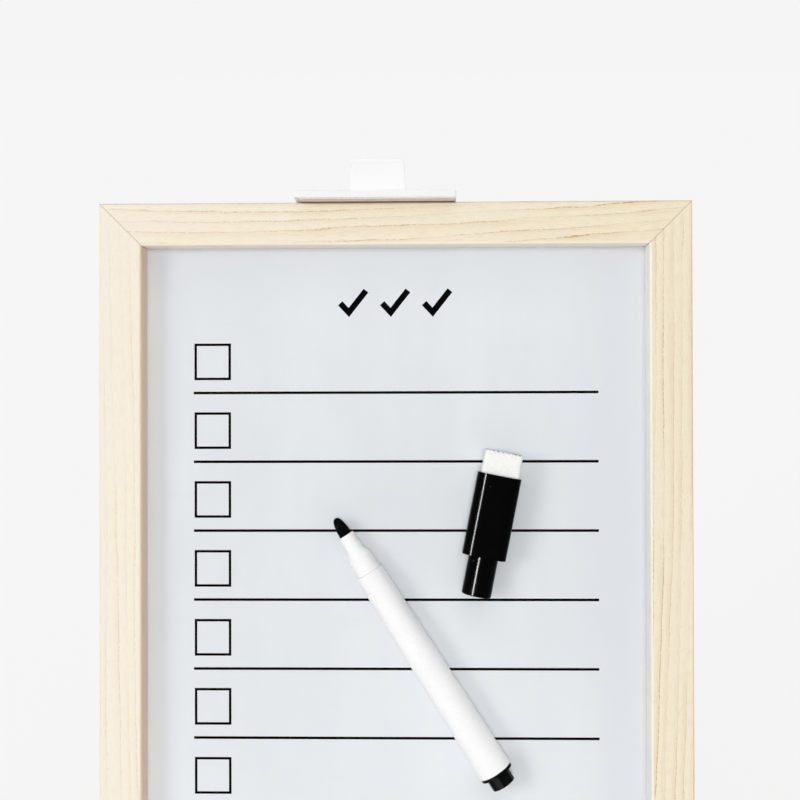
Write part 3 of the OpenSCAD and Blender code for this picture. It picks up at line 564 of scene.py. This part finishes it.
def eraser_felt():
    """A pressed felt block: sides a little drawn in, a soft rim and a flat, worn end."""
    bm = bmesh.new()
    rings = []
    for level in range(LEVELS + 1):
        half_w, half_d, height = felt_section(level / LEVELS)
        points = rounded_ring(half_w, half_d, FELT_CORNER, ARC_STEPS, SIDE_STEPS)
        z = (CAP_END + min(height, FELT_L - FELT_INSET)) * MM
        rings.append([bm.verts.new(CAP_MATRIX @ Vector((p.x * MM, p.y * MM, z)))
                      for p in points])
    for low, high in zip(rings, rings[1:]):
        for i, vert in enumerate(low):
            after = (i + 1) % len(low)
            bm.faces.new([vert, low[after], high[after], high[i]])
    for ring, turned in ((rings[0], True), (rings[-1], False)):
        bm.faces.new(list(reversed(ring)) if turned else ring)
    bmesh.ops.recalc_face_normals(bm, faces=bm.faces)
    mesh = bpy.data.meshes.new("felt_block")
    bm.to_mesh(mesh)
    bm.free()
    block = add_object("felt_block", mesh, felt("eraser_felt", (CAP_END + FELT_L) * MM),
                       "cap", smooth=True)
    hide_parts("eraser_felt")
    return block


eraser_felt()


# ---------- printed list ----------

RULES = 9
RULE_TOP = 237.8       # height of the first rule, mm up the board
RULE_STEP = 26.3
RULE_HALF = 77.15
RULE_T = 1.0
BOX_SIDE = 14.0
BOX_LINE = 0.95
BOX_IN = 0.3           # from a rule's end to the box on it
BOX_ABOVE = 4.9        # and from its middle up to the bottom of the box
INK_UNDER = 0.02       # the ink starts just inside the enamel
INK_OVER = 0.03
TICKS = 3
TICK_W = 11.6
TICK_H = 9.4
TICK_LINE = 2.3
TICK_STEP = 16.0
TICK_BASE = 266.6
TICK_DIP = 0.48        # height of its short stroke's start, as a share of the whole
TICK_FOOT = 0.36       # how far across its foot lies


def prism(bm, outline):
    """A closed flat shape, given as (u, v) points, standing just proud of the face."""
    low = [bm.verts.new(on_face(u, v, -INK_UNDER)) for u, v in outline]
    high = [bm.verts.new(on_face(u, v, INK_OVER)) for u, v in outline]
    bm.faces.new(list(reversed(low)))
    bm.faces.new(high)
    for i, corner in enumerate(low):
        after = (i + 1) % len(low)
        bm.faces.new([corner, low[after], high[after], high[i]])


def bar(bm, u0, v0, u1, v1):
    prism(bm, [(u0, v0), (u1, v0), (u1, v1), (u0, v1)])


def tick_box(bm, left, bottom):
    right, top = left + BOX_SIDE, bottom + BOX_SIDE
    bar(bm, left, bottom, right, bottom + BOX_LINE)
    bar(bm, left, top - BOX_LINE, right, top)
    bar(bm, left, bottom + BOX_LINE, left + BOX_LINE, top - BOX_LINE)
    bar(bm, right - BOX_LINE, bottom + BOX_LINE, right, top - BOX_LINE)


def tick(bm, left, bottom):
    """A bold tick mark: a stroke of even width with a sharp corner at its foot."""
    start = Vector((left, bottom + TICK_H * TICK_DIP))
    foot = Vector((left + TICK_W * TICK_FOOT, bottom))
    end = Vector((left + TICK_W, bottom + TICK_H))
    down, up = (foot - start).normalized(), (end - foot).normalized()
    down_side, up_side = Vector((-down.y, down.x)), Vector((-up.y, up.x))
    corner = (down_side + up_side).normalized()
    reach = TICK_LINE / corner.dot(up_side)
    outline = [start, foot, end, end + up_side * TICK_LINE, foot + corner * reach,
               start + down_side * TICK_LINE]
    prism(bm, [tuple(p) for p in outline])


def printed_list():
    bm = bmesh.new()
    for row in range(RULES):
        v = RULE_TOP - row * RULE_STEP
        bar(bm, -RULE_HALF, v - RULE_T / 2, RULE_HALF, v + RULE_T / 2)
        tick_box(bm, -RULE_HALF + BOX_IN, v + BOX_ABOVE)
    for place in range(TICKS):
        tick(bm, (place - (TICKS - 1) / 2) * TICK_STEP - TICK_W / 2, TICK_BASE)
    bmesh.ops.recalc_face_normals(bm, faces=bm.faces)
    mesh = bpy.data.meshes.new("printed_list")
    bm.to_mesh(mesh)
    bm.free()
    return add_object("printed_list", mesh, ink_print(), "stand")


printed_list()


# ---------- floor, light and camera ----------

FLOOR_TONE = 0.913     # the photograph's even backdrop, (245, 245, 245)
FLOOR_ALBEDO = 0.7     # what the floor sends back to the object
SHADOW_ALBEDO = 0.22   # what the camera sees of it, on top of an even tone
FLOOR_LIFT = 0.734     # that even tone, before the shadow part is added
SKY = 0.2              # strength of the world's light
# Far, wide lamps: strength, width in degrees, and where they stand: right, up and out of the board
SOFTBOXES = {
    "key": (1.16, 16, (0.03, 0.04, 1.00)),
    "wash": (0.82, 24, (-0.67, 0.12, 0.73)),
    "top": (0.45, 50, (0.10, 0.70, 0.71)),
    "back": (1.10, 60, (0.25, 0.85, -0.75)),
    "left": (0.65, 40, (-1.00, 0.35, -0.22)),
    "right": (0.80, 40, (1.00, 0.35, -0.22)),
}
FLOOR_HALF = 6.0


def seen_as(tree, seen, unseen):
    """A shader that is one thing to the eye, also in gloss and glass, and another to the light."""
    path = tree.nodes.new("ShaderNodeLightPath")
    either = path.outputs["Is Camera Ray"]
    for ray in ("Is Glossy Ray", "Is Transmission Ray"):
        larger = tree.nodes.new("ShaderNodeMath")
        larger.operation = "MAXIMUM"
        tree.links.new(either, larger.inputs[0])
        tree.links.new(path.outputs[ray], larger.inputs[1])
        either = larger.outputs[0]
    mix = tree.nodes.new("ShaderNodeMixShader")
    tree.links.new(either, mix.inputs[0])
    tree.links.new(unseen, mix.inputs[1])
    tree.links.new(seen, mix.inputs[2])
    return mix.outputs[0]


def add_floor():
    bm = bmesh.new()
    corners = [(-1, -1), (1, -1), (1, 1), (-1, 1)]
    bm.faces.new([bm.verts.new((x * FLOOR_HALF, y * FLOOR_HALF, 0)) for x, y in corners])
    mesh = bpy.data.meshes.new("floor")
    bm.to_mesh(mesh)
    bm.free()
    floor = bpy.data.objects.new("floor", mesh)
    bpy.context.scene.collection.objects.link(floor)
    material = bpy.data.materials.new("pale_floor")
    material.use_nodes = True
    tree = material.node_tree
    tree.nodes.remove(tree.nodes["Principled BSDF"])
    matt, shadow = (tree.nodes.new("ShaderNodeBsdfDiffuse") for _ in range(2))
    for shader, albedo in ((matt, FLOOR_ALBEDO), (shadow, SHADOW_ALBEDO)):
        shader.inputs["Color"].default_value = (albedo, albedo, albedo, 1)
    glow = tree.nodes.new("ShaderNodeEmission")
    glow.inputs["Strength"].default_value = FLOOR_LIFT
    lifted = tree.nodes.new("ShaderNodeAddShader")
    tree.links.new(shadow.outputs[0], lifted.inputs[0])
    tree.links.new(glow.outputs[0], lifted.inputs[1])
    tree.links.new(seen_as(tree, lifted.outputs[0], matt.outputs[0]),
                   tree.nodes["Material Output"].inputs["Surface"])
    mesh.materials.append(material)


def add_world():
    world = bpy.data.worlds.new("studio")
    bpy.context.scene.world = world
    world.use_nodes = True
    tree = world.node_tree
    light = tree.nodes["Background"]
    light.inputs["Color"].default_value = (1, 1, 1, 1)
    light.inputs["Strength"].default_value = SKY
    seen = tree.nodes.new("ShaderNodeBackground")
    seen.inputs["Color"].default_value = (1, 1, 1, 1)
    seen.inputs["Strength"].default_value = FLOOR_TONE
    tree.links.new(seen_as(tree, seen.outputs[0], light.outputs[0]),
                   tree.nodes["World Output"].inputs["Surface"])


def board_direction(right, up, out):
    return (Vector((right, 0, 0)) + UP * up + OUT * out).normalized()


def add_softbox(name, strength, width, direction):
    lamp = bpy.data.lights.new(name, "SUN")
    lamp.energy = strength
    lamp.angle = math.radians(width)
    softbox = bpy.data.objects.new(name, lamp)
    softbox.rotation_euler = board_direction(*direction).to_track_quat("Z", "Y").to_euler()
    bpy.context.scene.collection.objects.link(softbox)
    softbox.visible_glossy = False


# A tall narrow light that only shows as the bright line along round, polished black pieces
STRIP_AT = (-560.0, 180.0, 900.0)
STRIP_AIM = (20.0, 180.0)
STRIP_W = 0.15
STRIP_H = 1.6
STRIP_POWER = 500.0
POLISHED = ("cap_sleeve", "cap_tube", "marker_plug")


def add_strip():
    lamp = bpy.data.lights.new("strip", "AREA")
    lamp.shape = "RECTANGLE"
    lamp.size = STRIP_W
    lamp.size_y = STRIP_H
    lamp.energy = STRIP_POWER
    strip = bpy.data.objects.new("strip", lamp)
    at = on_face(*STRIP_AT)
    strip.location = at
    strip.rotation_euler = (at - on_face(*STRIP_AIM)).to_track_quat("Z", "Y").to_euler()
    strip.visible_diffuse = False
    strip.visible_camera = False
    bpy.context.scene.collection.objects.link(strip)
    polished = bpy.data.collections.new("polished")
    for name in POLISHED:
        polished.objects.link(NODES[name])
    strip.light_linking.receiver_collection = polished


# The camera was fitted to the frame's edges, the recess and the ruled lines
CAMERA_AT = (13.4, 231.0, 503.3 - (FRAME_D - RECESS))    # mm right, up and out of the face
CAMERA_YAW = math.radians(1.345)
CAMERA_PITCH = math.radians(0.455)
CAMERA_ROLL = math.radians(-0.135)
FOCAL_PX = 1300.0
PICTURE_PX = 800.0
SENSOR = 36.0
CLIP = (0.01, 50.0)


def add_camera():
    lens = bpy.data.cameras.new("camera")
    lens.sensor_fit = "HORIZONTAL"
    lens.sensor_width = SENSOR
    lens.lens = FOCAL_PX / PICTURE_PX * SENSOR
    lens.clip_start, lens.clip_end = CLIP
    camera = bpy.data.objects.new("camera", lens)
    turn = (Matrix.Rotation(-LEAN, 4, "X") @ Matrix.Rotation(CAMERA_YAW, 4, "Z")
            @ Matrix.Rotation(math.pi / 2 + CAMERA_PITCH, 4, "X")
            @ Matrix.Rotation(CAMERA_ROLL, 4, "Z"))
    u, v, out = CAMERA_AT
    camera.matrix_world = Matrix.Translation(on_face(u, v, out)) @ turn
    bpy.context.scene.collection.objects.link(camera)
    bpy.context.scene.camera = camera


add_floor()
add_world()
for lamp_name, settings in SOFTBOXES.items():
    add_softbox(lamp_name, *settings)
add_strip()
add_camera()
bpy.context.scene.view_settings.view_transform = "Standard"
